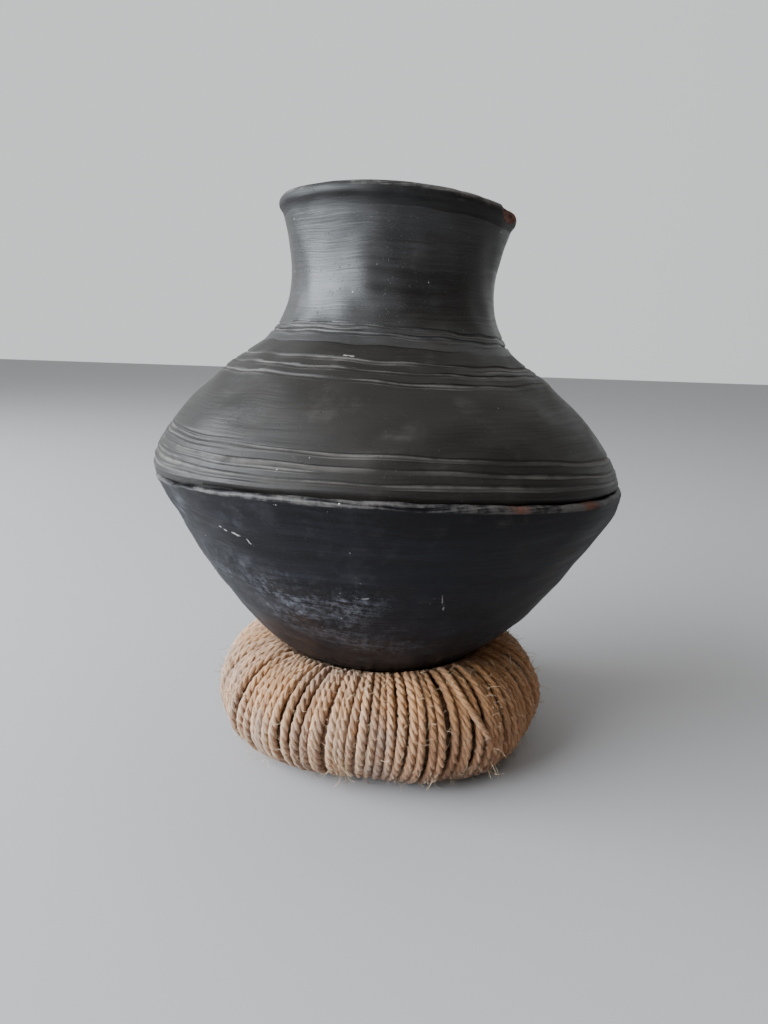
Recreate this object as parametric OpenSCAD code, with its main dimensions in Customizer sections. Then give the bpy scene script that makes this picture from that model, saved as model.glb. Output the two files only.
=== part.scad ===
// Hand-built black clay pot with a round base, standing on a ring of straw wound with rope.
// Millimetres, +Z up. The origin is at the centre of the ring's underside.
// Heights on the pot are measured along its own axis from its ledge, where bowl and shoulder meet.

/* [Pot] */
// Radius of the pot at its ledge, its widest place
ledge_r = 115; // [100:1:140]
// Height from the lowest point of the round base to the ledge
bowl_h = 105; // [88:1:126]
// Height from the ledge to the foot of the neck
shoulder_h = 57; // [46:1:68]
// Height from the foot of the neck to the foot of the lip
neck_h = 56; // [45:1:68]
// Radius of the neck at its foot
neck_foot_r = 60; // [50:1:72]
// Radius of the neck under the lip
neck_top_r = 52.5; // [47:1:64]
// How far the waist of the neck draws in, from a straight line between foot and lip
neck_waist = 14; // [6:1:18]
// Thickness of the clay wall
wall = 7; // [5:0.5:9]
// Radius of the sphere that the base is shaped on
base_sphere_r = 110; // [100:1:140]
// Radius at which the base turns up into the flank
base_edge_r = 46; // [36:1:54]
// Lean of the pot to its right as it sits in the ring, in degrees
lean = 1; // [0:0.1:4]

/* [Rim and ledge] */
// Height of the lip above the neck
lip_h = 9; // [7:0.5:14]
// How far the lip stands out past the top of the neck
lip_flare = 3; // [2:0.5:6]
// Radius of the flake missing from the lip
chip_r = 8; // [3:0.5:9]
// Direction of that flake from the middle of the mouth, in degrees
chip_turn = -26; // [-180:1:180]
// How far the bowl's rim stands up round the foot of the shoulder
ledge_rise = 2.5; // [1:0.5:4]
// Width of the open groove above the bowl's rim
ledge_gap = 2.5; // [1:0.5:4]
// Thickness of the bowl's rim outside the foot of the shoulder
ledge_lip = 4; // [2.5:0.5:5]
// Depth of the laps where two clay pieces join
lap = 5; // [3:0.5:8]

/* [Grooves] */
// Heights of the three belly grooves above the ledge
belly_grooves = [8.5, 13, 17.5];
// Distances of the three shoulder grooves below the foot of the neck
shoulder_grooves = [14, 10, 6];
// Heights of the two grooves above the foot of the neck
neck_grooves = [4.5, 8];
// Width of a groove
groove_w = 1.8; // [1:0.1:2.4]
// Depth of a groove
groove_d = 1.2; // [0.5:0.1:2]

/* [Ring] */
// Outer radius of the ring
ring_r = 86; // [78:1:100]
// Height of the ring as it stands
ring_h = 51.5; // [42:1:62]
// Width of the ring's section, from its outside to its hole
ring_w = 58; // [48:1:68]
// Thickness of the rope
rope_d = 4.4; // [4:0.1:6]
// Layers of rope on the side of the hole, where the turns crowd together
hole_layers = 3; // [1:1:3]
// How far the rope is pressed flat where the ring stands
foot_press = 1.5; // [0.5:0.5:3]
// Depth of the hollow that the pot presses into the ring
seat_depth = 7; // [4:0.5:9]
// Number of twine ties round the straw
tie_count = 8; // [4:1:12]
// Width of a tie, two turns of twine side by side
tie_w = 5; // [3:0.5:8]
// Thickness of the twine
twine_d = 2; // [1:0.5:3]
// How far the ties lie below the straw's surface
tie_sink = 0.3; // [0.2:0.1:0.6]
// Thickness of the slanting strand
strand_d = 3.4; // [3:0.1:4]
// Direction of the slanting strand round the ring, in degrees
strand_turn = -60; // [-90:1:90]
// Slant of that strand across the turns of the winding, in degrees
strand_slant = 14; // [0:1:25]
// How far the middle of that strand lies below the tops of the turns beside it
strand_sink = 1; // [0.5:0.5:1.5]

/* [Clearances] */
// Space between the pot and its seat
seat_gap = 0.3; // [0.2:0.1:0.6]
// Slip-filled gap round the foot of each lap joint
lap_gap = 0.2; // [0.1:0.1:0.5]
// Space between the slanting strand and the groove it lies in
strand_gap = 0.1; // [0.1:0.1:0.4]

/* [Hidden] */
$fn = 96;
steps = 24;
tiny = 0.01;

// Outlines are lists of [radius, height].
function bezier(p, t) =
    pow(1 - t, 3) * p[0] + 3 * pow(1 - t, 2) * t * p[1] + 3 * (1 - t) * t * t * p[2] + pow(t, 3) * p[3];
function curve(p) = [for (i = [0 : steps]) bezier(p, i / steps)];
function backwards(list) = [for (i = [len(list) - 1 : -1 : 0]) list[i]];
function unit(v) = v / norm(v);
// The outline moved inwards by the wall, square to itself
function inside(outline, d) = [for (i = [0 : len(outline) - 1])
    let (along = unit(outline[min(i + 1, len(outline) - 1)] - outline[max(i - 1, 0)]))
    outline[i] + d * [-along[1], along[0]]];
function radius_at(outline, z) = lookup(z, [for (p = outline) [p[1], p[0]]]);
function between(outline, low, high) = [for (p = outline) if (p[1] > low && p[1] < high) p];
function near(z, heights) = min([for (g = heights) abs(z - g)]) < groove_w;
function notch(outline, z) = [
    [radius_at(outline, z - groove_w / 2), z - groove_w / 2],
    [radius_at(outline, z) - groove_d, z],
    [radius_at(outline, z + groove_w / 2), z + groove_w / 2]];
// The outline with a notch cut into it at each height
function grooved(outline, heights) = [for (i = [0 : len(outline) - 1]) each concat(
    near(outline[i][1], heights) ? [] : [outline[i]],
    [for (g = heights) if (i < len(outline) - 1 && g > outline[i][1] && g <= outline[i + 1][1])
        each notch(outline, g)])];
function arc(centre, r, from, to) = [for (i = [0 : steps])
    centre + r * [cos(from + (to - from) * i / steps), sin(from + (to - from) * i / steps)]];
function oval(centre, half_w, half_h, from, to) = [for (i = [0 : steps])
    let (a = from + (to - from) * i / steps) centre + [half_w * cos(a), half_h * sin(a)]];

// Pot: the base is part of a sphere, and its centre is what the pot leans about.
sphere_z = base_sphere_r - bowl_h;
base_tilt = asin(base_edge_r / base_sphere_r);
base_outline = arc([0, sphere_z], base_sphere_r, -90, -90 + base_tilt);
flank_start = base_outline[steps];
flank_h = -flank_start[1];
flank_outline = curve([
    flank_start,
    flank_start + 0.3 * flank_h * [cos(base_tilt), sin(base_tilt)],
    [ledge_r - 0.16 * flank_h, -0.36 * flank_h],
    [ledge_r, 0]]);
bowl_outline = concat(base_outline, between(flank_outline, flank_start[1] + tiny, 1));
bowl_inside = inside(bowl_outline, wall);

lap_r = ledge_r - ledge_lip;
lap_z = ledge_rise - lap - ledge_gap;
edge_z = ledge_rise + ledge_gap;
seam_r = radius_at(bowl_inside, lap_z - wall);
seam_coil_r = 0.7 * wall;

foot_z = shoulder_h;
shoulder_line = curve([
    [ledge_r - 1.5, 1],
    [ledge_r - 0.115 * ledge_r, 0.46 * shoulder_h],
    [neck_foot_r + 0.42 * (ledge_r - neck_foot_r), 0.7 * shoulder_h],
    [neck_foot_r, foot_z]]);
shoulder_outline = between(shoulder_line, edge_z, foot_z + tiny);
shoulder_inside = inside(shoulder_line, wall);
neck_lap_r = neck_foot_r - wall / 2;
neck_lap_z = foot_z - lap;
neck_inner_r = radius_at(shoulder_inside, neck_lap_z);

top_z = foot_z + neck_h;
neck_outline = curve([
    [neck_foot_r, foot_z],
    [neck_foot_r - 1.15 * neck_waist, foot_z + 0.28 * neck_h],
    [neck_top_r - 0.5 * neck_waist, foot_z + 0.68 * neck_h],
    [neck_top_r, top_z]]);
neck_inside = inside(neck_outline, wall - 1);
lip_lap_r = neck_top_r - wall / 2;
rim_z = top_z + lip_h;
bead_r = (wall - 0.5) / 2;
bead_at = [neck_top_r + lip_flare - bead_r, rim_z - bead_r];

// Ring: an oval section, flat where it stands, with the straw inside.
section_w = ring_w / 2;
section_h = (ring_h + foot_press) / 2;
section_at = [ring_r - section_w, ring_h - section_h];
foot_angle = asin(section_at[1] / section_h);
core_w = (ring_w - (1 + hole_layers) * rope_d) / 2;
core_h = (ring_h - 2 * rope_d) / 2;
core_at = [ring_r - rope_d - core_w, rope_d + core_h];
tie_step = 360 / tie_count;
tie_angle = 2 * asin(tie_w / 2 / core_at[0]);

// The seat is as deep as it says below the ring's top, at the radius of the section's middle.
seat_sphere_z = ring_h - seat_depth + sqrt(pow(base_sphere_r, 2) - pow(section_at[0] - section_w / 2, 2));

// The slanting strand bends round the section in a circle, from low on the outside to under the pot.
loop_r = section_w;
loop_z = ring_h - strand_sink - loop_r;
loop_start = -15;
loop_end = 98;

module place_pot() {
    translate([0, 0, seat_sphere_z])
        rotate([0, lean, 0])
            translate([0, 0, -sphere_z])
                children();
}

// The lower half, shaped over a mould: its rim stands up round the foot of the shoulder.
module bowl() {
    color("#26262a")
        place_pot()
            rotate_extrude()
                polygon(concat(
                    bowl_outline,
                    arc([ledge_r - ledge_lip / 2, ledge_rise - ledge_lip / 2], ledge_lip / 2, 0, 180),
                    [[lap_r, lap_z], [seam_r, lap_z], [seam_r, lap_z - wall]],
                    backwards(between(bowl_inside, wall - bowl_h + tiny, lap_z - wall)),
                    [[0, wall - bowl_h]]));
}

// The clay coil pressed into the corner inside, over the joint of bowl and shoulder.
module seam_coil() {
    color("#35302c")
        place_pot()
            rotate_extrude()
                polygon(arc([seam_r, lap_z], seam_coil_r, 90, 270));
}

// The upper half: it stands in the bowl's rim and takes the neck at its top.
module shoulder() {
    color("#2f2d2c")
        place_pot()
            rotate_extrude()
                polygon(concat(
                    [[seam_r, lap_z], [lap_r - lap_gap, lap_z], [lap_r - lap_gap, ledge_rise]],
                    grooved(shoulder_outline, concat(
                        belly_grooves,
                        [for (d = shoulder_grooves) foot_z - d])),
                    [[neck_foot_r, foot_z], [neck_lap_r, foot_z], [neck_lap_r, neck_lap_z]],
                    [[neck_inner_r, neck_lap_z]],
                    backwards(between(shoulder_inside, lap_z + 2 * wall, neck_lap_z)),
                    [[seam_r, lap_z + wall]]));
}

// The neck stands on the shoulder, with a tongue inside it.
module neck() {
    color("#2b2d30")
        place_pot()
            rotate_extrude()
                polygon(concat(
                    [[neck_inner_r, neck_lap_z], [neck_lap_r - lap_gap, neck_lap_z]],
                    [[neck_lap_r - lap_gap, foot_z]],
                    grooved(neck_outline, [for (h = neck_grooves) foot_z + h]),
                    [[lip_lap_r, top_z], [lip_lap_r, top_z - lap]],
                    backwards(between(neck_inside, foot_z, top_z - lap))));
}

// The last coil, drawn out into a round lip. A flake is missing from it.
module lip_coil() {
    color("#2b2d30")
        place_pot()
            difference() {
                rotate_extrude()
                    polygon(concat(
                        [[radius_at(neck_inside, top_z - lap), top_z - lap]],
                        [[lip_lap_r - lap_gap, top_z - lap], [lip_lap_r - lap_gap, top_z]],
                        [[neck_top_r, top_z]],
                        arc(bead_at, bead_r, -35, 180)));
                rotate([0, 0, chip_turn])
                    translate([bead_at[0] + bead_r + chip_r / 2, 0, rim_z])
                        sphere(r = chip_r);
            }
}

// Straw bent round into a ring and bound.
module straw_core() {
    color("#c2a766")
        difference() {
            rotate_extrude()
                polygon(oval(core_at, core_w, core_h, 0, 360));
            tie_bands(-1);
        }
}

// Bands round the straw, as far below its surface as sink says
module tie_bands(sink) {
    for (i = [0 : tie_count - 1])
        rotate([0, 0, i * tie_step - tie_angle / 2])
            rotate_extrude(angle = tie_angle)
                difference() {
                    polygon(oval(core_at, core_w - sink, core_h - sink, 0, 360));
                    polygon(oval(core_at, core_w - twine_d, core_h - twine_d, 0, 360));
                }
}

// Twine that holds the straw together, sunk into it.
module core_ties() {
    color("#7d5f38")
        tie_bands(tie_sink);
}

module seat() {
    translate([0, 0, seat_sphere_z])
        sphere(r = base_sphere_r + seat_gap);
}

module slant_loop(r) {
    rotate([0, 0, strand_turn])
        translate([section_at[0], 0, loop_z])
            rotate([0, 0, strand_slant])
                rotate([90, 0, 0])
                    rotate([0, 0, loop_start])
                        rotate_extrude(angle = loop_end - loop_start)
                            translate([loop_r, 0])
                                circle(r = r);
}

// The rope wound round the straw, as the outer shape of all its turns.
module rope_winding() {
    color("#ad8559")
        difference() {
            rotate_extrude()
                polygon(oval(section_at, section_w, section_h, -foot_angle, 180 + foot_angle));
            rotate_extrude()
                polygon(oval(core_at, core_w, core_h, 0, 360));
            seat();
            slant_loop(strand_d / 2 + strand_gap);
        }
}

// The paler, thinner strand that crosses the turns on the slant. The pot holds its upper end.
module slant_strand() {
    color("#d0b48a")
        difference() {
            slant_loop(strand_d / 2);
            seat();
        }
}

bowl();
seam_coil();
shoulder();
neck();
lip_coil();
straw_core();
core_ties();
rope_winding();
slant_strand();
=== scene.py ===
"""A black clay pot, built by hand in four parts, standing on a ring of straw wound with rope.

The plain turned shapes come first, in millimetres along the pot's own axis, with the ledge at 0.
hand_shaped() then gives them the uneven run that a pot made without a wheel has. Shapes are worked
out in millimetres, and MM makes them metres. Finishes, lights and camera are in metres, and the
angles in tables are in degrees.
"""

import math

import bpy
import numpy as np
from mathutils import Matrix, Vector


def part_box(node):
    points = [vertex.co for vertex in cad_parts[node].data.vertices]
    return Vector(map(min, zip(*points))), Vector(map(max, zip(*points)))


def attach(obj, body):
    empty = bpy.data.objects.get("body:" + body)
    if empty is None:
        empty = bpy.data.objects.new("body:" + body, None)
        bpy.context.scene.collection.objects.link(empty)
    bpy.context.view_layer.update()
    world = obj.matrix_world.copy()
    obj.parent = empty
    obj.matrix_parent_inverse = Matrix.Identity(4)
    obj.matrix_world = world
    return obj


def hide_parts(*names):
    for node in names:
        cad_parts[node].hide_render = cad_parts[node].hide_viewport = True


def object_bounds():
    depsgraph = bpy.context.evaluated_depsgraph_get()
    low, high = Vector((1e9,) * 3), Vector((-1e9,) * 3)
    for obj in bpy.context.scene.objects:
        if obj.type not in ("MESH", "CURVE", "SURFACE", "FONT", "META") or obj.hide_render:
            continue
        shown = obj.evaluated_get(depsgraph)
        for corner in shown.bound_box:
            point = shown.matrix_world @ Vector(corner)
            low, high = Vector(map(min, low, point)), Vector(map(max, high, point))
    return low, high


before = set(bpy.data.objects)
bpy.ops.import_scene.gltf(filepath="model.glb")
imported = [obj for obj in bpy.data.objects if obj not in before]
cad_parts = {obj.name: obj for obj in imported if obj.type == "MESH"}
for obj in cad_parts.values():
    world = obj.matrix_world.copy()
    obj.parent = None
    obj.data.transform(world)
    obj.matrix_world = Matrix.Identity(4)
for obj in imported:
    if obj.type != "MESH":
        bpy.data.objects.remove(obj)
whole_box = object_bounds()

MM = 0.001
cad_box = [np.array(corner) / MM for corner in whole_box]

# ---------------------------------------------------------------- where things stand

ring_low, ring_high = [np.array(corner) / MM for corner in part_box("rope_winding")]
bowl_low, bowl_high = [np.array(corner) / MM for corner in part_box("bowl")]

LEAN = math.radians(1)
LEDGE_R = 115.0
BOWL_H = 105.0
BASE_SPHERE_R = 110.0
SPHERE_UP = BASE_SPHERE_R - BOWL_H
seat_middle = np.array([0.0, 0.0, bowl_low[2] + BASE_SPHERE_R])


def stand(points):
    """Pot's own axis to the shared frame: the pot leans about the middle of its round base."""
    x, y, up = points[..., 0], points[..., 1], points[..., 2] - SPHERE_UP
    return np.stack([
        x * math.cos(LEAN) + up * math.sin(LEAN),
        y,
        seat_middle[2] - x * math.sin(LEAN) + up * math.cos(LEAN)], -1)


# ---------------------------------------------------------------- the plain turned outlines

WALL = 7.0
SHOULDER_H = 57.0
NECK_H = 56.0
LIP_H = 9.0
NECK_FOOT_R = 60.0
NECK_TOP_R = 52.5
NECK_WAIST = 14.0
LIP_FLARE = 3.0
RIM_RISE = 2.5
RIM_GAP = 2.5
RIM_THICK = 4.0
LAP = 5.0
LAP_GAP = 0.2
BASE_EDGE_R = 46.0


def bezier(points, count):
    """A curve from the first of four points to the last, drawn towards the two between."""
    p = np.array(points, float)
    t = np.linspace(0, 1, count)[:, None]
    return (1 - t) ** 3 * p[0] + 3 * (1 - t) ** 2 * t * p[1] + 3 * (1 - t) * t ** 2 * p[2] + t ** 3 * p[3]


def arc(middle, radius, start, end, count):
    """Points round part of a circle, from one direction to another."""
    turn = np.radians(np.linspace(start, end, count))
    return np.array(middle) + radius * np.stack([np.cos(turn), np.sin(turn)], -1)


def set_in(outline, depth):
    """The outline moved inwards, square to itself."""
    along = np.gradient(outline, axis=0)
    along /= np.linalg.norm(along, axis=1)[:, None]
    return outline + depth * np.stack([-along[:, 1], along[:, 0]], -1)


def between(outline, low, high):
    """The points of an outline that lie between two heights."""
    keep = (outline[:, 1] > low) & (outline[:, 1] < high)
    return outline[keep]


def radius_at(outline, height):
    return np.interp(height, outline[:, 1], outline[:, 0])


base_turn = math.asin(BASE_EDGE_R / BASE_SPHERE_R)
base_line = arc([0, SPHERE_UP], BASE_SPHERE_R, -90, -90 + math.degrees(base_turn), 24)
flank_from = base_line[-1]
flank_h = -flank_from[1]
flank_line = bezier([
    flank_from,
    flank_from + 0.3 * flank_h * np.array([math.cos(base_turn), math.sin(base_turn)]),
    [LEDGE_R - 0.16 * flank_h, -0.36 * flank_h],
    [LEDGE_R, 0]], 60)
bowl_line = np.concatenate([base_line, flank_line[1:]])
bowl_inside = set_in(bowl_line, WALL)

lap_r = LEDGE_R - RIM_THICK
lap_z = RIM_RISE - LAP - RIM_GAP
seam_r = radius_at(bowl_inside, lap_z - WALL)

shoulder_line = bezier([
    [LEDGE_R - 1.5, 1],
    [LEDGE_R - 0.115 * LEDGE_R, 0.46 * SHOULDER_H],
    [NECK_FOOT_R + 0.42 * (LEDGE_R - NECK_FOOT_R), 0.7 * SHOULDER_H],
    [NECK_FOOT_R, SHOULDER_H]], 80)
shoulder_inside = set_in(shoulder_line, WALL)
neck_lap_r = NECK_FOOT_R - WALL / 2
neck_lap_z = SHOULDER_H - LAP
neck_inner_r = radius_at(shoulder_inside, neck_lap_z)

TOP_Z = SHOULDER_H + NECK_H
neck_line = bezier([
    [NECK_FOOT_R, SHOULDER_H],
    [NECK_FOOT_R - 1.15 * NECK_WAIST, SHOULDER_H + 0.28 * NECK_H],
    [NECK_TOP_R - 0.5 * NECK_WAIST, SHOULDER_H + 0.68 * NECK_H],
    [NECK_TOP_R, TOP_Z]], 70)
neck_inside = set_in(neck_line, WALL - 1)
lip_lap_r = NECK_TOP_R - WALL / 2
RIM_Z = TOP_Z + LIP_H
bead_r = (WALL - 0.5) / 2
bead_at = np.array([NECK_TOP_R + LIP_FLARE - bead_r, RIM_Z - bead_r])

# Grooves: height, width, depth, and between which two directions round the pot, in degrees from +X.
# None is all the way round. The short ones are slips of the same tool.
GROOVES = [
    (65.0, 1.6, 0.9, None), (61.5, 1.8, 1.1, None),
    (51.0, 1.6, 0.9, None), (47.0, 1.6, 1.0, None), (43.0, 1.6, 0.9, None),
    (17.5, 1.6, 0.9, None), (13.0, 1.6, 0.9, None), (8.5, 1.6, 0.9, None),
    (15.9, 1.2, 0.5, (178, 238)), (11.4, 1.2, 0.5, (186, 262)), (10.0, 1.2, 0.4, (176, 226)),
    (6.9, 1.3, 0.6, (180, 248)), (19.3, 1.1, 0.35, (196, 240)), (18.6, 1.2, 0.4, (60, 130)),
    (11.2, 1.2, 0.5, (20, 66)), (63.2, 1.1, 0.4, (200, 262)), (49.2, 1.1, 0.35, (300, 356))]

# How each level of the pot wanders from flat, going round it: height, then millimetres
# up everywhere, up at the right, up at both sides, and up three times round.
WANDER = [
    (-105, 0, 0, 0, 0), (-60, 0, 0, 0, 0), (-30, -0.6, 0.2, -1.0, 0),
    (-0.5, -2.8, 0.5, -3.6, 0.3), (3.75, -2.8, 0.5, -3.6, 0.3),
    (8.5, -2.0, -1.3, -2.2, -0.9), (13.0, -1.8, -2.5, -2.5, -0.9), (17.5, -1.2, -2.8, -1.9, -0.9),
    (28, -0.3, -1.5, -0.5, 0), (43, 1.0, -0.3, 0.4, 0.6), (47, 0.6, -0.7, 0, 0.3),
    (51, 0, -0.8, -0.3, 0.3), (61.5, 0, -1.3, -0.6, 0), (65, -0.4, -1.3, -0.6, 0.2),
    (113, -0.5, -1.5, -0.8, 0), (125, -0.4, -1.7, -0.9, 0)]

# How far the middle of the pot stands to the right of its axis at each height
OFF_AXIS = [
    (-105, 0), (-84, 0), (-66, 1.7), (-38, 1.3), (-20, 2.6), (-8, 2.2), (-1, 0.2), (8, -1.2), (22, -2.0),
    (44, -3.2), (51, -3.3), (57, -2.3), (66, -1.75), (76, -1.7), (95, -1.8), (113, -1.4), (125, -1.0)]

# How much fuller the pot is than its plain outline at each height
FULLER = [
    (-105, 0), (-84, 0), (-64, 1.0), (-36, 0.9), (-24, 0.3), (-10, 0.5), (-2.4, 0.2), (0, 0), (3, 0.2),
    (4.5, 1.0), (9, 1.0), (30, 1.2), (42, 0.4), (50, 0.7), (57, 1.1), (100, 1.2), (110, 0.8), (118, 0),
    (125, 0)]

# The shoulder's outline, with the ledge's edge as its foot
SPREAD_HEIGHTS = [-3, 0] + [float(h) for h in shoulder_line[4:, 1]]
SPREAD_RADII = [LEDGE_R - 1.6, LEDGE_R - 1.9] + [float(r) for r in shoulder_line[4:, 0]]

ROUND_BELOW = -84  # the base keeps its round shape, because it rests on the ring
LEDGE_FREE = 0.25  # how much of the dents and bulges the ledge shows
SPREAD_LOW = 3
SPREAD_HIGH = 48
LIP_LEVEL = 122  # above this there is no jitter


def swell(height, turn):
    """Slow dents and bulges left by the hands."""
    return (0.2 * np.sin(3 * turn + 0.7 + height / 41) + 0.18 * np.sin(5 * turn - height / 23 + 2.1)
            + 0.15 * np.sin(8 * turn + height / 13 + 1.3) + 0.11 * np.sin(13 * turn - height / 9 + 4.0)
            + 0.07 * np.sin(21 * turn + height / 6 + 0.4))


def from_table(table, at):
    """Each column of a table after its first, worked out at the given places along its first."""
    rows = np.array(table, float)
    return [np.interp(at, rows[:, 0], column) for column in rows[:, 1:].T]


def hand_shaped(radius, height, turn):
    """Moves the plain turned points to where they are on the pot as it was made."""
    level, right, sides, third = from_table(WANDER, height)
    lift = level + right * np.cos(turn) + sides * np.cos(2 * turn) + third * np.cos(3 * turn)
    jitter = 0.22 * np.sin(11 * turn + height / 3.1) + 0.16 * np.sin(19 * turn - height / 2.3 + 1)
    jitter = jitter * np.clip((LIP_LEVEL - height) / 8, 0, 1)
    free = np.clip((height - ROUND_BELOW) / 18, 0, 1) * np.clip(LEDGE_FREE + np.abs(height) / 22, 0, 1)
    off, = from_table(OFF_AXIS, height)
    # Where the shoulder comes down lower than elsewhere, it spreads further out too.
    lowered = np.interp(height + lift, SPREAD_HEIGHTS, SPREAD_RADII)
    spread = lowered - np.interp(height, SPREAD_HEIGHTS, SPREAD_RADII)
    spread = np.where(height > SPREAD_LOW, np.maximum(spread, -1), 0)
    spread = spread * np.clip((SPREAD_HIGH - height) / 20, 0, 1)
    fuller, = from_table(FULLER, height)
    wide = radius + spread + fuller + free * swell(height, turn)
    return np.stack([
        wide * np.cos(turn) + off,
        wide * np.sin(turn),
        height + lift + jitter * free], -1)


# The ridge that the tool pushes up below a groove: its place and width in halves of the groove's width
BURR_AT = -1.35
BURR_W = 0.4
BURR_H = 0.16


def facing(turn, start, end, soft=8):
    """1 between two directions, in degrees, fading out over a few degrees at both ends."""
    middle, half = math.radians((start + end) / 2), math.radians(end - start) / 2
    away = np.abs((turn - middle + math.pi) % (2 * math.pi) - math.pi)
    return np.clip((half - away) / math.radians(soft), 0, 1)


def tooled(height, turn):
    """Depth of the grooves at each point, and how much of a groove is there, from 0 to 1."""
    depth = np.zeros(np.broadcast(height, turn).shape)
    share = depth.copy()
    for number, (at, width, deep, sector) in enumerate(GROOVES):
        aside = (height - at) / (width / 2)
        press = 0.8 + 0.2 * np.sin(5 * turn + 2 * number) + 0.12 * np.sin(17 * turn + number)
        if sector:
            press = press * facing(turn, *sector)
        cut = np.clip(1 - np.abs(aside), 0, 1) ** 0.8
        burr = np.exp(-((aside - BURR_AT) / BURR_W) ** 2)
        depth = depth + press * (deep * cut - BURR_H * burr)
        share = np.maximum(share, press * np.clip(cut + 0.7 * burr, 0, 1))
    return depth, np.clip(share, 0, 1)


# ---------------------------------------------------------------- making a mesh of the clay

IN_BOX = 0.01  # the pot stays this far inside the box of the plain shapes

# Where points stand across a groove and the burr below it, in halves of its width
GROOVE_STEPS = (-1.7, BURR_AT, -1, -0.6, -0.25, 0, 0.25, 0.6, 1, 1.4)


def with_grooves(line, low, high, gap):
    """Points up an outline, closer together where a groove is."""
    heights = list(np.arange(low, high, gap))
    for at, width, *_ in GROOVES:
        if low < at < high:
            heights = [h for h in heights if abs(h - at) > width]
            heights += [at + width / 2 * k for k in GROOVE_STEPS]
    heights = sorted(h for h in set(np.round(heights, 2)) if low < h < high)
    return np.array([[radius_at(line, h), h] for h in heights])


def run_along(line):
    """How far along a line each of its points is."""
    return np.concatenate([[0], np.cumsum(np.linalg.norm(np.diff(line, axis=0), axis=1))])


def spaced(line, gap):
    """The same line with its points evenly spaced."""
    run = run_along(line)
    at = np.linspace(0, run[-1], max(2, int(round(run[-1] / gap)) + 1))
    return np.stack([np.interp(at, run, line[:, 0]), np.interp(at, run, line[:, 1])], -1)


def join(*parts):
    """One list of points from several, with each part's name kept beside its points."""
    points = np.concatenate([np.array(part, float) for name, part in parts])
    names = [name for name, part in parts for point in part]
    return points, names


def turned(name, outline, names, columns, reshape=None):
    """A closed clay part: the outline taken round the axis, grooved, and shaped by hand."""
    turn = np.arange(columns) * 2 * math.pi / columns
    closed = outline[0, 0] > 0.01
    radius, height = outline[:, :1], outline[:, 1:]
    depth, share = tooled(height, turn[None])

    def named(which):
        return np.broadcast_to(np.array([[n == which] for n in names], float), depth.shape)

    radius = radius - depth * named("outer")
    points = hand_shaped(radius, np.broadcast_to(height, depth.shape), turn[None])
    marks = {"groove": share * named("outer"), "inner": named("inner"), "edge": named("edge"),
             "bare": np.zeros(depth.shape)}
    if reshape:
        points = reshape(points, marks, turn, height)
    rows = len(outline)
    index = np.arange(rows * columns).reshape(rows, columns)
    faces = []
    first, last = (0, rows) if closed else (1, rows - 2)
    for row in range(first, last):
        low, high = index[row], index[(row + 1) % rows]
        faces += list(zip(low, np.roll(low, -1), np.roll(high, -1), high))
    flat = np.clip(stand(points).reshape(-1, 3), cad_box[0] + IN_BOX, cad_box[1] - IN_BOX)
    if not closed:
        # One point at each pole stands for its whole row.
        faces += [(index[0, 0], b, a) for a, b in zip(index[1], np.roll(index[1], -1))]
        faces += [(index[-1, 0], a, b) for a, b in zip(index[-2], np.roll(index[-2], -1))]
    return clay_object(name, flat, faces, {k: v.reshape(-1) for k, v in marks.items()})


def clay_object(name, points, faces, marks):
    """A smooth mesh of the points that its faces use, with its marks as attributes."""
    used = np.unique(np.concatenate([np.array(f) for f in faces]))
    place = np.full(len(points), -1)
    place[used] = np.arange(len(used))
    points = points[used]
    faces = [tuple(int(place[i]) for i in f) for f in faces]
    if signed_bulk(points, faces) < 0:
        faces = [f[::-1] for f in faces]
    mesh = bpy.data.meshes.new(name)
    mesh.from_pydata((points * MM).tolist(), [], faces)
    for mark, values in marks.items():
        mesh.attributes.new(mark, "FLOAT", "POINT").data.foreach_set("value", values[used].astype(np.float32))
    mesh.polygons.foreach_set("use_smooth", [True] * len(faces))
    mesh.update()
    mesh.set_sharp_from_angle(angle=math.radians(60))
    made = bpy.data.objects.new(name, mesh)
    bpy.context.scene.collection.objects.link(made)
    return made


def signed_bulk(points, faces):
    """More than 0 where the faces point outwards, and less where they point in."""
    corners = np.array([(f[0], f[i], f[i + 1]) for f in faces for i in range(1, len(f) - 1)])
    a, b, c = points[corners[:, 0]], points[corners[:, 1]], points[corners[:, 2]]
    return float(np.einsum("ij,ij->i", a, np.cross(b, c)).sum())


# ---------------------------------------------------------------- the four clay parts

# The flank runs straight out to a narrow rim, which is rubbed pale.
rim_low = np.array([[LEDGE_R - 1.05, -2.5], [LEDGE_R - 0.6, -1.4], [LEDGE_R - 0.25, -0.5]])
rim_edge = np.array([[LEDGE_R - 0.05, 0.2], [LEDGE_R, 0.7], [LEDGE_R - 0.15, 1.2], [LEDGE_R - 0.5, 1.7],
                     [LEDGE_R - 1.0, 2.1], [LEDGE_R - 1.7, 2.4], [LEDGE_R - 2.4, 2.5], [LEDGE_R - 3.2, 2.3],
                     [LEDGE_R - 3.8, 1.7]])


# Places where the rim is worn down to bare clay: from one direction to another, and how deep
BARE_SPOTS = [(293, 299, 0.3), (313, 321, 0.7)]
NICKS = 0.45
SMEAR_IN = 1.7
SMEAR_DOWN = 1.0
SHUT_DOWN = 2.4  # how far the shoulder's foot comes down where the joint is shut
OPEN_DOWN = 0.7  # and where it is open


def smeared(turn):
    """1 at the left, where the joint was smeared shut, and 0 where it was left open."""
    return facing(turn, 146, 262, 45)[None]


def pull_in(points, turn, how_far):
    """Moves points towards the pot's axis."""
    for k, direction in enumerate((np.cos(turn), np.sin(turn))):
        points[..., k] = points[..., k] - how_far * direction[None]
    return points


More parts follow.
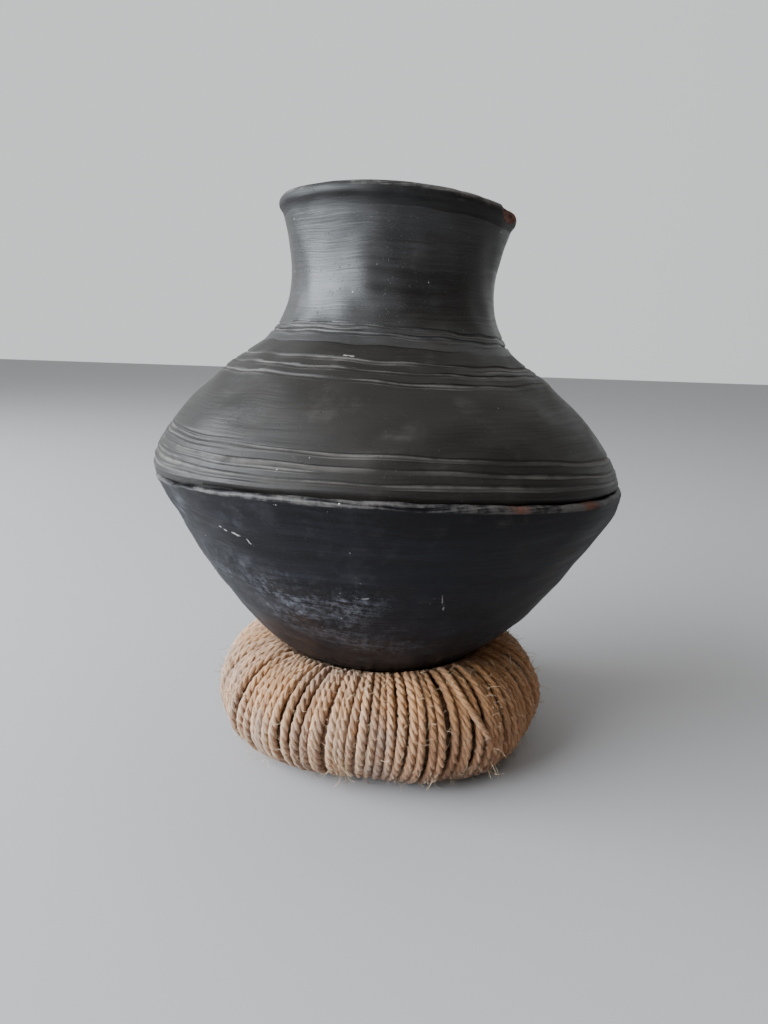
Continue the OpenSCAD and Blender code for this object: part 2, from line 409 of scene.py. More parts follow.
def shape_rim(points, marks, turn, height):
    """Wear on the bowl's rim: nicks, two bare places, and less of a rim where the joint is smeared shut."""
    worn = (0.35 * np.sin(9 * turn + 1) + 0.3 * np.sin(23 * turn) + 0.25 * np.sin(37 * turn + 2)
            + 0.2 * np.sin(61 * turn) * np.sin(4 * turn + 2))
    edge = marks["edge"] > 0.5
    points[..., 2] = np.where(edge, points[..., 2] + NICKS * worn[None], points[..., 2])
    near = np.clip((height + 8) / 6, 0, 1)
    points = pull_in(points, turn, SMEAR_IN * smeared(turn) * near)
    points[..., 2] = points[..., 2] - SMEAR_DOWN * smeared(turn) * np.clip((height + 1) / 3, 0, 1)
    for start, end, deep in BARE_SPOTS:
        bare = facing(turn, start, end, 3)[None] * edge
        marks["bare"] = np.maximum(marks["bare"], bare)
        points = pull_in(points, turn, deep * bare)
    return points


def close_joint(points, marks, turn, height):
    """Where the joint was smeared shut, the foot of the shoulder comes down over the rim."""
    foot = np.clip((9 - height) / 4, 0, 1) * (height > RIM_RISE + 0.5)
    shut = smeared(turn) * foot
    points[..., 2] = points[..., 2] - (SHUT_DOWN * shut + OPEN_DOWN * (1 - smeared(turn)) * foot)
    return pull_in(points, turn, 0.3 * shut)


bowl_points, bowl_names = join(
    ("outer", [[0, -BOWL_H]]),
    ("outer", between(spaced(bowl_line, 2.4), -BOWL_H + 0.01, -3.4)),
    ("outer", rim_low), ("edge", rim_edge),
    ("lap", spaced(np.array([[lap_r, RIM_RISE - 1.8], [lap_r, lap_z], [seam_r, lap_z],
                             [seam_r, lap_z - WALL]]), 2.5)),
    ("inner", between(spaced(bowl_inside[::-1], 3.5), WALL - BOWL_H + 0.05, lap_z - WALL - 0.5)),
    ("inner", [[0, WALL - BOWL_H]]))
bowl = turned("bowl_lower_half", bowl_points, bowl_names, 360, shape_rim)

shoulder_points, shoulder_names = join(
    ("lap", spaced(np.array([[seam_r, lap_z], [lap_r - LAP_GAP, lap_z], [lap_r - LAP_GAP, RIM_RISE]]), 2.5)),
    ("lap", [[radius_at(shoulder_line, RIM_RISE + RIM_GAP) - 0.6, RIM_RISE + RIM_GAP - 0.4]]),
    ("outer", with_grooves(shoulder_line, RIM_RISE + RIM_GAP, SHOULDER_H - 0.4, 1.9)),
    ("outer", [[NECK_FOOT_R, SHOULDER_H]]),
    ("lap", [[neck_lap_r, SHOULDER_H], [neck_lap_r, neck_lap_z], [neck_inner_r, neck_lap_z]]),
    ("inner", between(spaced(shoulder_inside[::-1], 3), lap_z + 2 * WALL, neck_lap_z - 1)),
    ("inner", [[seam_r, lap_z + WALL], [seam_r, lap_z + WALL / 2]]))
shoulder = turned("shoulder_upper_half", shoulder_points, shoulder_names, 400, close_joint)

neck_points, neck_names = join(
    ("lap", [[neck_inner_r, neck_lap_z], [neck_lap_r - LAP_GAP, neck_lap_z],
             [neck_lap_r - LAP_GAP, SHOULDER_H], [NECK_FOOT_R, SHOULDER_H]]),
    ("outer", with_grooves(neck_line, SHOULDER_H, TOP_Z - 0.4, 1.5)),
    ("outer", [[NECK_TOP_R, TOP_Z]]),
    ("lap", [[lip_lap_r, TOP_Z], [lip_lap_r, TOP_Z - LAP]]),
    ("inner", between(spaced(neck_inside[::-1], 2.5), SHOULDER_H, TOP_Z - LAP - 0.2)))
neck = turned("neck", neck_points, neck_names, 360)

CHIP_TURN = math.radians(-26)
CHIP_R = 8.0
CHIP_STRETCH = 0.38  # distances round the lip count for this much less, which makes the flake long

# Small worn places along the lip: direction, and how big
LIP_WEAR = [(-62, 1.3), (-48, 1.0), (-80, 0.8), (-100, 0.6), (64, 1.4), (148, 1.1)]


def flake_off(points, marks, turn, height):
    """A flake broken from the lip, longer round it than it is high, and the small worn places along it."""
    middle = hand_shaped(np.array(bead_at[0] + bead_r + 4.0), np.array(RIM_Z - 0.5), np.array(CHIP_TURN))
    round_it = np.array([-math.sin(CHIP_TURN), math.cos(CHIP_TURN), 0.0])
    away = points - middle
    away = away - CHIP_STRETCH * (away @ round_it)[..., None] * round_it
    far = np.linalg.norm(away, axis=-1, keepdims=True)
    rough = 0.4 * np.sin(points[..., :1] * 2.9) + 0.35 * np.sin(points[..., 2:] * 3.7 + 1)
    marks["bare"] = np.maximum(marks["bare"], np.clip((CHIP_R + 0.5 - far[..., 0]) / 0.8, 0, 1))
    points = np.where(far < CHIP_R, points + away * ((CHIP_R + rough * 0.5) / far - 1), points)
    for at, size in LIP_WEAR:
        spot = hand_shaped(np.array(bead_at[0] + 2.2), np.array(RIM_Z - 0.9), np.array(math.radians(at)))
        near = np.clip(1 - np.linalg.norm(points - spot, axis=-1) / (3.2 * size), 0, 1)
        marks["edge"] = np.maximum(marks["edge"], near ** 0.5)
        points[..., 2] -= 0.4 * size * near ** 2
    return points


lip_points, lip_names = join(
    ("lap", [[radius_at(neck_inside, TOP_Z - LAP), TOP_Z - LAP], [lip_lap_r - LAP_GAP, TOP_Z - LAP],
             [lip_lap_r - LAP_GAP, TOP_Z], [NECK_TOP_R, TOP_Z]]),
    ("outer", spaced(np.array([[NECK_TOP_R + 0.15, TOP_Z + 0.5], [NECK_TOP_R + 0.9, TOP_Z + 2.2],
                               bead_at + bead_r * np.array([math.cos(-0.5), math.sin(-0.5)])]), 0.9)),
    ("outer", arc(bead_at, bead_r, -22, 14, 5)), ("edge", arc(bead_at, bead_r, 24, 180, 18)),
    ("inner", spaced(np.array([[bead_at[0] - bead_r, bead_at[1] - 0.6],
                               [radius_at(neck_inside, TOP_Z - LAP), TOP_Z - LAP + 0.8]]), 1.2)))
lip = turned("lip", lip_points, lip_names, 400, flake_off)

# ---------------------------------------------------------------- formulas in node trees


class Amount:
    """A number or a vector in a node tree. Sums with it add the nodes that work them out."""

    def __init__(self, tree, socket):
        self.tree = tree
        self.socket = socket

    def node(self, kind, *values, out=0, **settings):
        made = self.tree.nodes.new(kind)
        for key, value in settings.items():
            setattr(made, key, value)
        for slot, value in zip(made.inputs, values):
            put(self.tree, slot, value)
        return Amount(self.tree, made.outputs[out])

    def math(self, operation, *values):
        return self.node("ShaderNodeMath", self, *values, operation=operation)

    def vector(self, operation, *values, out=0):
        return self.node("ShaderNodeVectorMath", self, *values, operation=operation, out=out)

    def __add__(self, other):
        return self.math("ADD", other)

    def __sub__(self, other):
        return self.math("SUBTRACT", other)

    def __mul__(self, other):
        return self.math("MULTIPLY", other)

    def __truediv__(self, other):
        return self.math("DIVIDE", other)

    def limit(self, low, high):
        """From 0 at low to 1 at high, smoothly, and no further."""
        made = self.tree.nodes.new("ShaderNodeMapRange")
        made.interpolation_type = "SMOOTHSTEP"
        for name, value in (("Value", self), ("From Min", low), ("From Max", high)):
            put(self.tree, made.inputs[name], value)
        return Amount(self.tree, made.outputs["Result"])

    def parts(self):
        """The x, y and z of a vector."""
        split = self.node("ShaderNodeSeparateXYZ", self)
        return [split.other(k) for k in range(3)]

    def scaled(self, by):
        """A vector made longer or shorter."""
        made = self.vector("SCALE")
        put(self.tree, made.socket.node.inputs["Scale"], by)
        return made

    def other(self, out):
        """Another output of the node that this one comes from."""
        return Amount(self.tree, self.socket.node.outputs[out])


def put(tree, slot, value):
    """Joins a value to a socket, or sets it there."""
    if isinstance(value, Amount):
        tree.links.new(value.socket, slot)
    elif value is not None:
        slot.default_value = value


FLOAT = "NodeSocketFloat"
WHOLE = "NodeSocketInt"
VECTOR = "NodeSocketVector"
SHAPE = "NodeSocketGeometry"
MATERIAL = "NodeSocketMaterial"


def mixed_colour(share, below, above):
    """The colour below, covered by a share of the one above."""
    made = share.tree.nodes.new("ShaderNodeMix")
    made.data_type = "RGBA"
    # The sockets for colours come after those for numbers and vectors.
    for place, value in ((6, below), (7, above)):
        put(share.tree, made.inputs[place], value if isinstance(value, Amount) else (*value, 1.0))
    put(share.tree, made.inputs[0], share)
    return Amount(share.tree, made.outputs[2])


def new_tree(name, kind, inputs, outputs):
    """A node group with its sockets made, the values that it is given, and its output node."""
    tree = bpy.data.node_groups.new(name, kind)
    for label, socket, value in inputs:
        made = tree.interface.new_socket(label, in_out="INPUT", socket_type=socket)
        if value is not None:
            made.default_value = value
    for label, socket in outputs:
        tree.interface.new_socket(label, in_out="OUTPUT", socket_type=socket)
    start, end = tree.nodes.new("NodeGroupInput"), tree.nodes.new("NodeGroupOutput")
    given = {s.name: Amount(tree, s) for s in start.outputs if s.name}
    return tree, given, end


# ---------------------------------------------------------------- effects that several finishes share


def noise(place, scale, detail=2.0, rough=0.5, out="Fac"):
    """Cloudy random values, or colours, with so many clouds to a unit of place."""
    made = place.tree.nodes.new("ShaderNodeTexNoise")
    for name, value in (("Vector", place), ("Scale", scale), ("Detail", detail), ("Roughness", rough)):
        put(place.tree, made.inputs[name], value)
    return Amount(place.tree, made.outputs[out])


def streaks_effect():
    """Level rubbing marks: fine up the wall, long round it."""
    tree, given, end = new_tree("Burnish streaks", "ShaderNodeTree", [
        ("Place", VECTOR, None), ("Fine", FLOAT, 800.0), ("Long", FLOAT, 28.0), ("Sharp", FLOAT, 0.2)],
        [("Streak", FLOAT)])
    place, long = given["Place"], given["Long"]
    x, y, z = place.parts()
    level = (z + noise(place, 22.0, 2.0) * 0.006) * given["Fine"]
    fine = place.node("ShaderNodeCombineXYZ", x * long, y * long, level)
    coarse = place.node("ShaderNodeCombineXYZ", x * long * 0.6, y * long * 0.6, level * 0.27)
    mixed = noise(fine, 1.0, 3.0, 0.6) * 0.5 + noise(coarse, 1.0, 2.0, 0.5) * 0.5
    put(tree, end.inputs[0], mixed.limit(given["Sharp"] + 0.15, given["Sharp"] * -1.0 + 0.85))
    return tree


def blotch_effect():
    """Soft cloudy patches with ragged edges."""
    tree, given, end = new_tree("Cloudy patches", "ShaderNodeTree", [
        ("Place", VECTOR, None), ("Size", FLOAT, 25.0), ("From", FLOAT, 0.45), ("To", FLOAT, 0.7)],
        [("Patch", FLOAT)])
    cloud = noise(given["Place"], given["Size"], 5.0, 0.62)
    put(tree, end.inputs[0], cloud.limit(given["From"], given["To"]))
    return tree


def specks_effect():
    """Pale grains of lime and dust, most of them tiny."""
    tree, given, end = new_tree("Specks", "ShaderNodeTree", [
        ("Place", VECTOR, None), ("Many", FLOAT, 260.0), ("Grain", FLOAT, 0.1), ("Share", FLOAT, 0.86)],
        [("Speck", FLOAT)])
    place = given["Place"]
    # Each grain is pushed out of round.
    push = noise(place, 900.0, 2.0, 0.6, "Color").scaled(0.0025)
    cells = tree.nodes.new("ShaderNodeTexVoronoi")
    put(tree, cells.inputs["Vector"], place.vector("ADD", push))
    put(tree, cells.inputs["Scale"], given["Many"])
    chance = place.node("ShaderNodeSeparateColor", Amount(tree, cells.outputs["Color"]))
    size = chance.other(1) * given["Grain"] + 0.02
    dot = (size - Amount(tree, cells.outputs["Distance"])).limit(-0.02, 0.05)
    put(tree, end.inputs[0], dot * chance.math("GREATER_THAN", given["Share"]))
    return tree


def scratch_effect():
    """One ragged scratch between two points."""
    tree, given, end = new_tree("Scratch", "ShaderNodeTree", [
        ("Place", VECTOR, None), ("Start", VECTOR, None), ("End", VECTOR, None), ("Width", FLOAT, 0.0006)],
        [("Scratch", FLOAT)])
    place = given["Place"]
    wiggle = noise(place, 160.0, 3.0, 0.6, "Color").vector("SUBTRACT", (0.5, 0.5, 0.5))
    here = place.vector("ADD", wiggle.scaled(0.0045))
    run = given["End"].vector("SUBTRACT", given["Start"])
    off = here.vector("SUBTRACT", given["Start"])
    share = off.vector("DOT_PRODUCT", run, out=1) / run.vector("DOT_PRODUCT", run, out=1)
    along = run.scaled(share.math("MAXIMUM", 0.0).math("MINIMUM", 1.0))
    away = off.vector("SUBTRACT", along).vector("LENGTH", out=1)
    gaps = noise(place, 420.0, 2.0).limit(0.28, 0.5)
    put(tree, end.inputs[0], (given["Width"] - away).limit(0.0, 0.0003) * gaps)
    return tree


def scuff_effect():
    """A patch of short level scuffs, thick in its middle and thin at its edge."""
    tree, given, end = new_tree("Scuffs", "ShaderNodeTree", [
        ("Place", VECTOR, None), ("Middle", VECTOR, None), ("Reach", VECTOR, (0.02, 0.02, 0.01)),
        ("Streak", FLOAT, 0.0)], [("Scuff", FLOAT)])
    place = given["Place"]
    off = place.vector("SUBTRACT", given["Middle"]).vector("DIVIDE", given["Reach"])
    inside = off.vector("LENGTH", out=1).limit(1.0, 0.1)
    ragged = noise(place, 330.0, 6.0, 0.78)
    soft = noise(place, 70.0, 3.0, 0.6).limit(0.35, 0.65)
    mark = (ragged * 0.85 + given["Streak"] * 0.15).limit(0.42, 0.8)
    put(tree, end.inputs[0], mark * inside * (soft * 0.7 + 0.3))
    return tree


def fibre_effect():
    """Fine fibres that run along a strand or a stalk."""
    tree, given, end = new_tree("Fibres", "ShaderNodeTree", [
        ("Along", FLOAT, 0.0), ("Side", VECTOR, None), ("Long", FLOAT, 180.0), ("Fine", FLOAT, 5.0)],
        [("Fibre", FLOAT)])
    x, y, _ = given["Side"].parts()
    along = given["Along"] * given["Long"]
    where = x.node("ShaderNodeCombineXYZ", x * given["Fine"], y * given["Fine"], along)
    put(tree, end.inputs[0], noise(where, 1.0, 4.0, 0.65))
    return tree


EFFECTS = {"streaks": streaks_effect(), "blotch": blotch_effect(), "specks": specks_effect(),
           "scratch": scratch_effect(), "scuff": scuff_effect(), "fibre": fibre_effect()}

# ---------------------------------------------------------------- finishes


class Finish:
    """A material and the few things that every one here needs."""

    def __init__(self, name, uniform):
        self.material = bpy.data.materials.new(name)
        self.material.use_nodes = True
        self.tree = self.material.node_tree
        self.shader = self.tree.nodes["Principled BSDF"]
        for key, value in uniform.items():
            self.shader.inputs[key].default_value = value
        spot = self.tree.nodes.new("ShaderNodeTexCoord")
        self.place = Amount(self.tree, spot.outputs["Object"])

    def mark(self, name, out="Fac"):
        """What an attribute of the mesh says at each place."""
        made = self.tree.nodes.new("ShaderNodeAttribute")
        made.attribute_name = name
        return Amount(self.tree, made.outputs[out])

    def effect(self, which, **values):
        """One of the shared effects, with its own values."""
        made = self.tree.nodes.new("ShaderNodeGroup")
        made.node_tree = EFFECTS[which]
        if "Place" in made.inputs:
            put(self.tree, made.inputs["Place"], self.place)
        for key, value in values.items():
            put(self.tree, made.inputs[key], value)
        return Amount(self.tree, made.outputs[0])

    def blend(self, share, below, above):
        """The colour below, covered by a share of the one above."""
        return mixed_colour(share, below, above)

    def colour(self, value):
        put(self.tree, self.shader.inputs["Base Color"], value)

    def rough(self, value):
        put(self.tree, self.shader.inputs["Roughness"], value.math("MINIMUM", 1.0).math("MAXIMUM", 0.05))

    def relief(self, *heights):
        """Bumps, each a height from 0 to 1 and how tall it is in metres."""
        below = None
        for height, tall in heights:
            made = self.tree.nodes.new("ShaderNodeBump")
            made.inputs["Distance"].default_value = tall
            put(self.tree, made.inputs["Height"], height)
            if below:
                self.tree.links.new(below, made.inputs["Normal"])
            below = made.outputs["Normal"]
        self.tree.links.new(below, self.shader.inputs["Normal"])


# Colours on the clay
DUST = (0.33, 0.31, 0.29)
LIME = (0.62, 0.6, 0.57)
# Pale chalk and scuffs; on the side that faces the window it is also painted bluish sheen
CHALK_AND_SHEEN = (0.3, 0.31, 0.36)
EARTH = (0.15, 0.066, 0.047)
RAW = (0.075, 0.066, 0.06)


def on_pot(turn, height, radius):
    """A spot on the pot, from its direction in degrees, its height from the ledge and its radius."""
    turn = math.radians(turn)
    spot = stand(np.array([radius * math.cos(turn), radius * math.sin(turn), height]))
    return tuple(float(v) * MM for v in spot)


def clay(name, dark, cloud, shine, dull, gloss, streak, cloud_size, dusty, specks,
         scratches=(), scuffs=(), chalk_and_sheen=0.0):
    """Smoke-blackened clay: rubbed smooth outside, raw inside, dusty in its grooves.

    shine and dull are the roughness of rubbed clay and of its cloudy patches, and gloss is its
    reflection. The other single numbers say how strong the streaks, the dust and the pale chalk
    with its painted sheen are, how many cloudy patches go to a metre, and how few specks there are.
    """
    f = Finish(name, {"Metallic": 0.05, "IOR": 1.5, "Specular IOR Level": gloss})
    streaks = f.effect("streaks", Fine=900.0, Long=26.0)
    broad = f.effect("streaks", Fine=300.0, Long=14.0, Sharp=0.25)
    clouds = f.effect("blotch", Size=cloud_size, From=0.42, To=0.74)
    film = f.effect("blotch", Size=cloud_size * 4.0, From=0.52, To=0.74)
    dots = f.effect("specks", Many=250.0, Grain=0.085, Share=specks)
    crumbs = f.effect("specks", Many=700.0, Grain=0.16, Share=specks - 0.04)
    pits = noise(f.place, 900.0, 3.0, 0.6).limit(0.64, 0.74)
    grain = noise(f.place, 2600.0, 2.0, 0.5)
    groove, inner, edge, bare = [f.mark(n) for n in ("groove", "inner", "edge", "bare")]

    tone = f.blend(clouds * 0.8, dark, cloud)
    tone = f.blend(streaks * broad * streak, tone, tuple(min(1, 1.5 * c) for c in cloud))
    tone = f.blend(film * streaks * dusty * 0.09, tone, DUST)
    line = groove.limit(0.3, 0.95) * (noise(f.place, 140.0, 3.0).limit(0.25, 0.6) * 0.7 + 0.3)
    tone = f.blend(line * dusty * 0.36, tone, DUST)
    worn = edge * (noise(f.place, 170.0, 6.0, 0.78) * 0.7 + streaks * 0.3).limit(0.4, 0.66)
    tone = f.blend(worn * 0.3, tone, DUST)
    if chalk_and_sheen:
        # Pale chalk smears, partly painted sheen: thickest on the side that faces the window, and low down,
        # where a bluish reflection of the window is painted in
        x, _, z = f.place.parts()
        window_side = (x * -1.0 - z * 0.4).limit(-0.07, 0.07)
        chalk = f.effect("blotch", Size=48.0, From=0.5, To=0.72)
        chalk = chalk * f.effect("blotch", Size=14.0, From=0.4, To=0.62)
        tone = f.blend(chalk * window_side * chalk_and_sheen, tone, CHALK_AND_SHEEN)
    tone = f.blend(inner * 0.9, tone, RAW)
    for middle, reach, share in scuffs:
        scuff = f.effect("scuff", Middle=middle, Reach=reach, Streak=streaks)
        tone = f.blend(scuff * share, tone, CHALK_AND_SHEEN)
    tone = f.blend(dots * 0.8, tone, LIME)
    tone = f.blend(crumbs * clouds * 0.4, tone, DUST)
    red = bare * (noise(f.place, 420.0, 5.0, 0.75).limit(0.34, 0.56) * 0.75 + 0.25)
    tone = f.blend(red, tone, EARTH)
    for start, end, width in scratches:
        tone = f.blend(f.effect("scratch", Start=start, End=end, Width=width) * 0.45, tone, LIME)
    f.colour(tone)
    rough = clouds * (dull - shine) + shine
    rough = rough + streaks * 0.08 + film * 0.08 + line * 0.2 + worn * 0.1 + inner * 0.3 + bare * 0.35
    f.rough(rough)
    f.relief((streaks, 0.00005), (broad, 0.00008), (pits, -0.00012), (grain, 0.00002))
    return f.material


# The blue in the bowl's colours is painted reflection of a blue cloth; the smoked clay itself is black
bowl_clay = clay(
    "Bowl clay, smoked black with painted blue reflection", (0.0036, 0.0031, 0.004), (0.0105, 0.0104, 0.0155),
    shine=0.42, dull=0.62, gloss=0.2, streak=0.5, cloud_size=16.0, dusty=0.8, specks=0.93,
    scratches=[
        (on_pot(-129, -17, 106), on_pot(-123, -19, 105.5), 0.0006),
        (on_pot(-123, -19, 105.5), on_pot(-119, -24, 103), 0.0005),
        (on_pot(-99, -41, 95.5), on_pot(-93, -40, 95.5), 0.0005),
        (on_pot(-76, -38, 97), on_pot(-74, -46, 92), 0.0004)],
    # Pale scuffs, made stronger on the bowl's lower front and left, towards the window, where they partly
    # stand for its reflection: painted sheen
    scuffs=[
        (on_pot(-136, -45, 91), (0.035, 0.035, 0.03), 0.24),
        (on_pot(-120, -46, 92), (0.036, 0.03, 0.022), 0.3),
        (on_pot(-110, -50, 89), (0.036, 0.032, 0.024), 0.42),
        (on_pot(-96, -43, 95), (0.022, 0.02, 0.014), 0.46),
        (on_pot(-88, -66, 78), (0.034, 0.03, 0.018), 0.3),
        (on_pot(-107, -62, 81), (0.034, 0.03, 0.02), 0.3),
        (on_pot(-150, -34, 96), (0.04, 0.05, 0.03), 0.1)],
    chalk_and_sheen=0.34)
shoulder_clay = clay(
    "Shoulder clay, dull grey-brown black", (0.0105, 0.0086, 0.0072), (0.021, 0.0181, 0.0158),
    shine=0.43, dull=0.58, gloss=0.32, streak=0.25, cloud_size=13.0, dusty=0.9, specks=0.93,
    scratches=[(on_pot(-108, 53, 68.5), on_pot(-104, 53, 68.5), 0.0005)],
    scuffs=[
        (on_pot(-127, 29, 97), (0.016, 0.016, 0.009), 0.16),
        (on_pot(-141, 40, 86), (0.012, 0.012, 0.006), 0.1),
        (on_pot(-130, 12, 109), (0.034, 0.034, 0.012), 0.12)])
neck_clay = clay(
    "Neck clay, rubbed to a graphite shine", (0.0105, 0.0098, 0.0095), (0.02, 0.0195, 0.0205),
    shine=0.38, dull=0.5, gloss=0.6, streak=0.5, cloud_size=18.0, dusty=0.7, specks=0.94,
    scuffs=[(on_pot(-120, 100, 52), (0.014, 0.014, 0.01), 0.1)])
lip_clay = clay(
    "Lip clay, handled and dull", (0.0095, 0.0088, 0.0085), (0.017, 0.0165, 0.0175),
    shine=0.46, dull=0.6, gloss=0.3, streak=0.4, cloud_size=18.0, dusty=0.6, specks=0.94)
inside_clay = clay(
    "Inside clay, left raw", (0.05, 0.044, 0.04), (0.08, 0.07, 0.062),
    shine=0.75, dull=0.9, gloss=0.3, streak=0.1, cloud_size=20.0, dusty=0.6, specks=0.93)

# Colours on the rope, besides each rope's own. Three of them are painted light and shade: paler on the side
# towards the window, browner on the side away from it, and darker low down by the floor
PAINTED_WINDOW_LIGHT = (0.97, 0.7, 0.47)
SHADED = (0.52, 0.225, 0.088)
HANDLED = (0.62, 0.31, 0.12)
PAINTED_FLOOR_SHADE = (0.1, 0.055, 0.042)


def rope_finish(name, pale, middle, dark, grey):
    """Plant-fibre rope: each turn its own tone, fine fibres along every strand."""
    f = Finish(name, {"Sheen Weight": 0.2, "Sheen Roughness": 0.6, "IOR": 1.4, "Specular IOR Level": 0.25})
    along, side, turn_tone = f.mark("along"), f.mark("side", "Vector"), f.mark("tone")
    fibres = f.effect("fibre", Along=along, Side=side, Long=150.0, Fine=4.6)
    coarse = f.effect("fibre", Along=along, Side=side, Long=38.0, Fine=1.2)
    cloud = f.effect("blotch", Size=30.0, From=0.4, To=0.66)
    orange = f.effect("blotch", Size=17.0, From=0.42, To=0.62)
    x, _, height = f.place.parts()
    # 0 on the side towards the window at the left, 1 on the side away from it: the mask for painted light and
    # shade
    shade_side = x.limit(-0.05, 0.055)
    tone = f.blend(turn_tone.limit(0.0, 1.0), dark, middle)
    tone = f.blend(coarse.limit(0.36, 0.64) * (turn_tone * 0.5 + 0.45), tone, pale)
    tone = f.blend(cloud * (orange * -0.8 + 0.85), tone, grey)
    # Painted light: the side towards the window is painted paler
    tone = f.blend(shade_side * -0.12 + 0.12, tone, PAINTED_WINDOW_LIGHT)
    # Painted shade: the side away from the window is painted browner and darker
    tone = f.blend(shade_side * (orange * 0.3 + 0.35), tone, SHADED)
    tone = f.blend(height.limit(0.026, 0.046) * (orange * 0.4 + 0.25), tone, HANDLED)
    # Painted shade: darker low down where the rope meets the floor, most on the side away from the window
    tone = f.blend(height.limit(0.021, 0.002) * (shade_side * 0.45 + 0.15), tone, PAINTED_FLOOR_SHADE)
    tone = f.blend(fibres.limit(0.5, 0.33) * 0.75, tone, tuple(0.4 * c for c in dark))
    tone = f.blend(fibres.limit(0.58, 0.74) * 0.6, tone, tuple(min(1.0, 1.12 * c) for c in pale))
    f.colour(tone)
    f.rough(fibres * 0.12 + 0.78)
    f.relief((fibres, 0.0008), (coarse, 0.0006))
    return f.material


rope_material = rope_finish(
    "Rope, three-strand plant fibre",
    pale=(0.9, 0.61, 0.39), middle=(0.65, 0.35, 0.17), dark=(0.2, 0.072, 0.027), grey=(0.46, 0.36, 0.32))
pale_rope_material = rope_finish(
    "Rope, paler turn",
    pale=(0.92, 0.66, 0.46), middle=(0.72, 0.44, 0.25), dark=(0.36, 0.17, 0.08), grey=(0.56, 0.44, 0.37))


def straw_finish():
    """Dry stalks that run round the ring, painted dark and reddish to stand for the shade in the gaps between
    the rope's turns.
    """
    f = Finish("Straw, bent round, darkened as painted shade", {"Sheen Weight": 0.1})
    x, y, z = f.place.parts()
    round_it = y.math("ARCTAN2", x)
    out = (x * x + y * y).math("SQRT")
    side = x.node("ShaderNodeCombineXYZ", out * 60.0, z * 60.0, 0.0)
    stalks = f.effect("fibre", Along=round_it, Side=side, Long=2.0, Fine=7.0)
    # Painted shade: the straw's colours are kept dark, so that it reads as shade where it shows between the
    # turns
    f.colour(f.blend(stalks.limit(0.35, 0.65), (0.07, 0.034, 0.016), (0.22, 0.125, 0.06)))
    f.rough(stalks * 0.3 + 0.5)
    f.relief((stalks, 0.0012))
    return f.material


def twine_finish():
    """Thin twine, its turns side by side."""
    f = Finish("Twine ties", {})
    lays = f.tree.nodes.new("ShaderNodeTexWave")
    lays.bands_direction = "DIAGONAL"
    put(f.tree, lays.inputs["Vector"], f.place)
    lays.inputs["Scale"].default_value = 160.0
    lays.inputs["Distortion"].default_value = 2.0
    lay = Amount(f.tree, lays.outputs["Fac"])
    f.colour(f.blend(lay, (0.12, 0.07, 0.035), (0.3, 0.2, 0.11)))
    f.rough(lay * 0.1 + 0.75)
    f.relief((lay, 0.0006))
    return f.material


# ---------------------------------------------------------------- rope, laid along a path

ROPE_D = 4.4
ROPE_LAY = 15.0  # how far along the rope its strands take for one twist
SLANT_D = 3.4
SLANT_LAY = 11.0
STRAND_R = 0.29  # of the rope's thickness
STRAND_OUT = 0.225  # a strand's middle from the rope's, of the rope's thickness
TURNS = 120
STEPS = 44  # points along each turn
LAYERS = 3  # of turns on the hole side, where they can't lie side by side
LAYER_UP = 0.82 * ROPE_D
BEDDED = 0.35  # how far the turns lie inside the ring's plain outline
PRESSED = 0.8  # what the floor leaves of the rope's half thickness
WINDING_SEED, PROUD_SEED, TURN_SEED, FUZZ_SEED, NAP_SEED = 11, 21, 5, 3, 8
RING_R = float(ring_high[0])
RING_H = float(ring_high[2])
RING_W = 58.0
FOOT_PRESS = 1.5  # how far the section's outline reaches below the floor, where it is flattened
SEAT_GAP = 0.3
SEAT_BEDDED = 0.36 * ROPE_D  # from the rope's middle to the seat, where the pot presses on it
half_w = RING_W / 2
half_h = (RING_H + FOOT_PRESS) / 2
ring_mid = np.array([RING_R - half_w, RING_H - half_h])


def slow_noise(rng, at, every, size):
    """Random but smooth values, with a new one about every so often."""
    knots = rng.normal(0, 1, int(at.max() / every) + 4)
    where = at / every
    low = np.floor(where).astype(int)
    t = where - low
    t = t * t * (3 - 2 * t)
    return size * (knots[low] * (1 - t) + knots[low + 1] * t)


def square_to_ring(v):
    """The direction that faces out of the ring's section at each place round it."""
    outward = np.stack([np.cos(v) / half_w, np.sin(v) / half_h], -1)
    return outward / np.linalg.norm(outward, axis=1)[:, None]


def winding_path():
    """Middle line of the rope, wound once round the straw for each turn."""
    rng = np.random.default_rng(WINDING_SEED)
    count = TURNS * STEPS + 1
    t = np.arange(count) / STEPS
    # More steps on the outside, where the rope shows
    v = 2 * math.pi * t - 0.3 * np.sin(2 * math.pi * t)
    hole_side = np.clip(-np.cos(v), 0, 1) ** 0.8
    layer = (np.floor(t) % LAYERS) * LAYER_UP * hole_side
    sink = (np.abs(slow_noise(rng, t, every=1.3, size=0.55))
            + np.abs(slow_noise(rng, t, every=0.45, size=0.3)))
    # Some bunches of turns stand out from the rest.
    proud = slow_noise(np.random.default_rng(PROUD_SEED), t, every=4.3, size=0.9)
    proud = np.clip(proud, 0, 1.8)
    inset = ROPE_D / 2 + BEDDED + (sink - proud) * (1 - 0.6 * hole_side)
    out = ring_mid[0] + (half_w - inset - layer) * np.cos(v)
    up = ring_mid[1] + (half_h - inset) * np.sin(v)
    # A turn runs a little aslant, and the turns bunch and part.
    around = 2 * math.pi * t / TURNS
    around = around + slow_noise(rng, t, every=3.4, size=2.9) / RING_R
    around = around + slow_noise(rng, t, every=0.55, size=1.2) / RING_R
    around = around + 0.014 * np.sin(v + 0.6) + math.radians(100)
    points, outward = shaped_ring(out, up, around, square_to_ring(v))
    return points, outward, v * (half_w + half_h) / 2, t


# How far up the foot's width reaches, where the top's starts and how soon it is all there, and
# from which radius both are felt
FOOT_REACH = 36
TOP_FROM = 14
HOLE_KEPT = 34
FADE = 30

